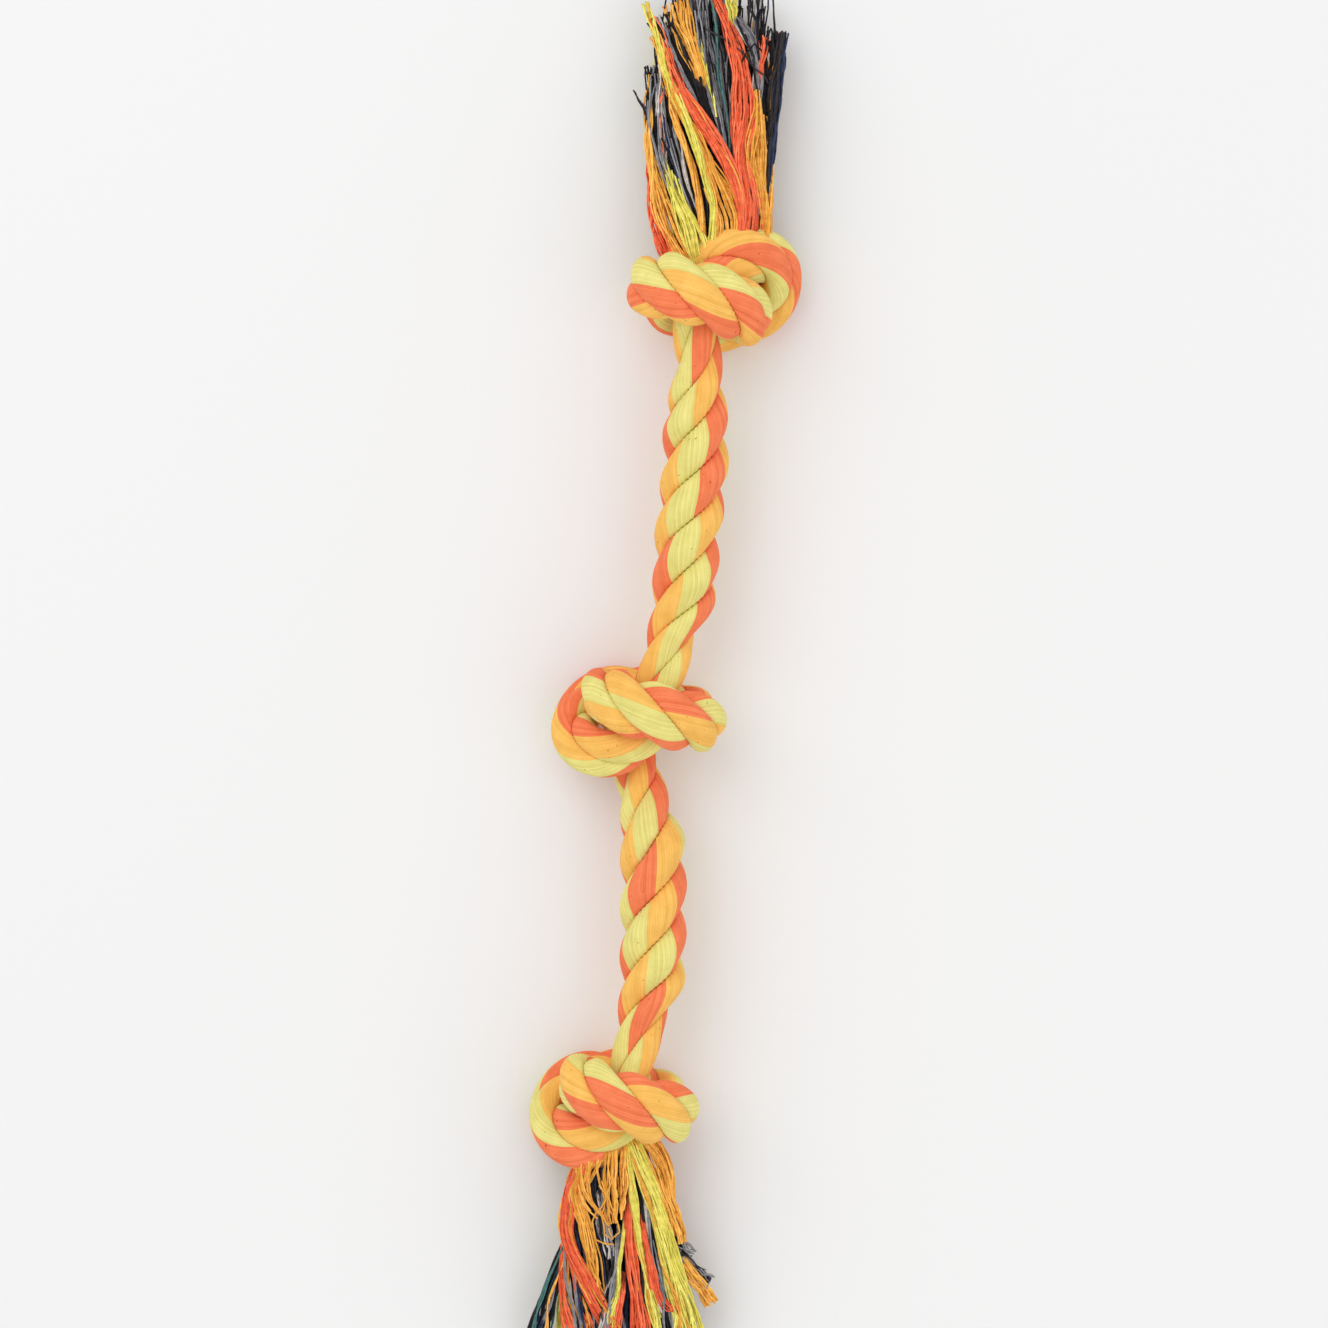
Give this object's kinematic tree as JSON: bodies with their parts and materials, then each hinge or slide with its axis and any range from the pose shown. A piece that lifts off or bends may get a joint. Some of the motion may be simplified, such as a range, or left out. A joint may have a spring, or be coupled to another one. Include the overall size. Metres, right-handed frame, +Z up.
{
  "type": "rope dog toy",
  "caption": "Three-strand cotton rope toy for a dog, with overhand knots along it and a frayed tassel at each end.",
  "frame": {"origin": "centre of the toy's box in plan, on the surface that it lies on", "axes": "+Y along the rope towards the end knot that stands to the right of the middle one, +X to the right seen from above, +Z up"},
  "size_m": [0.0772, 0.4028, 0.0361],
  "materials": {
    "strand_cover": "matte cotton yarn, orange, coral and lime in bands along each strand",
    "orange_yarn": "matte cotton yarn",
    "coral_yarn": "matte cotton yarn",
    "lime_yarn": "matte cotton yarn",
    "core_yarn": "matte mixed cotton yarn, black, navy, grey and white"
  },
  "bodies": {
    "middle_knot": {"middle_knot_strand_a": "strand_cover", "middle_knot_strand_b": "strand_cover", "middle_knot_strand_c": "strand_cover"},
    "upper_span": {"upper_span_strand_a": "strand_cover", "upper_span_strand_b": "strand_cover", "upper_span_strand_c": "strand_cover"},
    "top_knot": {"top_knot_strand_a": "strand_cover", "top_knot_strand_b": "strand_cover", "top_knot_strand_c": "strand_cover"},
    "lower_span": {"lower_span_strand_a": "strand_cover", "lower_span_strand_b": "strand_cover", "lower_span_strand_c": "strand_cover"},
    "bottom_knot": {"bottom_knot_strand_a": "strand_cover", "bottom_knot_strand_b": "strand_cover", "bottom_knot_strand_c": "strand_cover"},
    "top_tassel": {"top_tassel_orange_lock_a": "orange_yarn", "top_tassel_coral_lock_a": "coral_yarn", "top_tassel_lime_lock_a": "lime_yarn", "top_tassel_orange_lock_b": "orange_yarn", "top_tassel_coral_lock_b": "coral_yarn", "top_tassel_lime_lock_b": "lime_yarn", "top_tassel_orange_lock_c": "orange_yarn", "top_tassel_coral_lock_c": "coral_yarn", "top_tassel_lime_lock_c": "lime_yarn", "top_tassel_core_lock_a": "core_yarn", "top_tassel_core_lock_b": "core_yarn", "top_tassel_core_lock_c": "core_yarn"},
    "bottom_tassel": {"bottom_tassel_orange_lock_a": "orange_yarn", "bottom_tassel_coral_lock_a": "coral_yarn", "bottom_tassel_lime_lock_a": "lime_yarn", "bottom_tassel_orange_lock_b": "orange_yarn", "bottom_tassel_coral_lock_b": "coral_yarn", "bottom_tassel_lime_lock_b": "lime_yarn", "bottom_tassel_orange_lock_c": "orange_yarn", "bottom_tassel_coral_lock_c": "coral_yarn", "bottom_tassel_lime_lock_c": "lime_yarn", "bottom_tassel_core_lock_a": "core_yarn", "bottom_tassel_core_lock_b": "core_yarn", "bottom_tassel_core_lock_c": "core_yarn"}
  },
  "joints": [
    {"name": "upper_span_sweep", "type": "hinge", "parent": "middle_knot", "child": "upper_span", "pos_m": [0.00583, 0.0327, 0.01827], "axis": [0, 0, 1], "range_deg": [-35, 35]},
    {"name": "top_knot_lift", "type": "hinge", "parent": "upper_span", "child": "top_knot", "pos_m": [0.00868, 0.0744, 0.01838], "axis": [1, 0, 0], "range_deg": [0, 45]},
    {"name": "top_tassel_sweep", "type": "hinge", "parent": "top_knot", "child": "top_tassel", "pos_m": [0.0141, 0.1414, 0.01431], "axis": [0, 0, 1], "range_deg": [-25, 25]},
    {"name": "lower_span_sweep", "type": "hinge", "parent": "middle_knot", "child": "lower_span", "pos_m": [-0.00329, -0.0473, 0.01827], "axis": [0, 0, -1], "range_deg": [-35, 35]},
    {"name": "bottom_knot_lift", "type": "hinge", "parent": "lower_span", "child": "bottom_knot", "pos_m": [-0.00345, -0.0774, 0.01835], "axis": [-1, 0, 0], "range_deg": [0, 45]},
    {"name": "bottom_tassel_sweep", "type": "hinge", "parent": "bottom_knot", "child": "bottom_tassel", "pos_m": [-0.01468, -0.1444, 0.01433], "axis": [0, 0, -1], "range_deg": [-25, 25]}
  ]
}
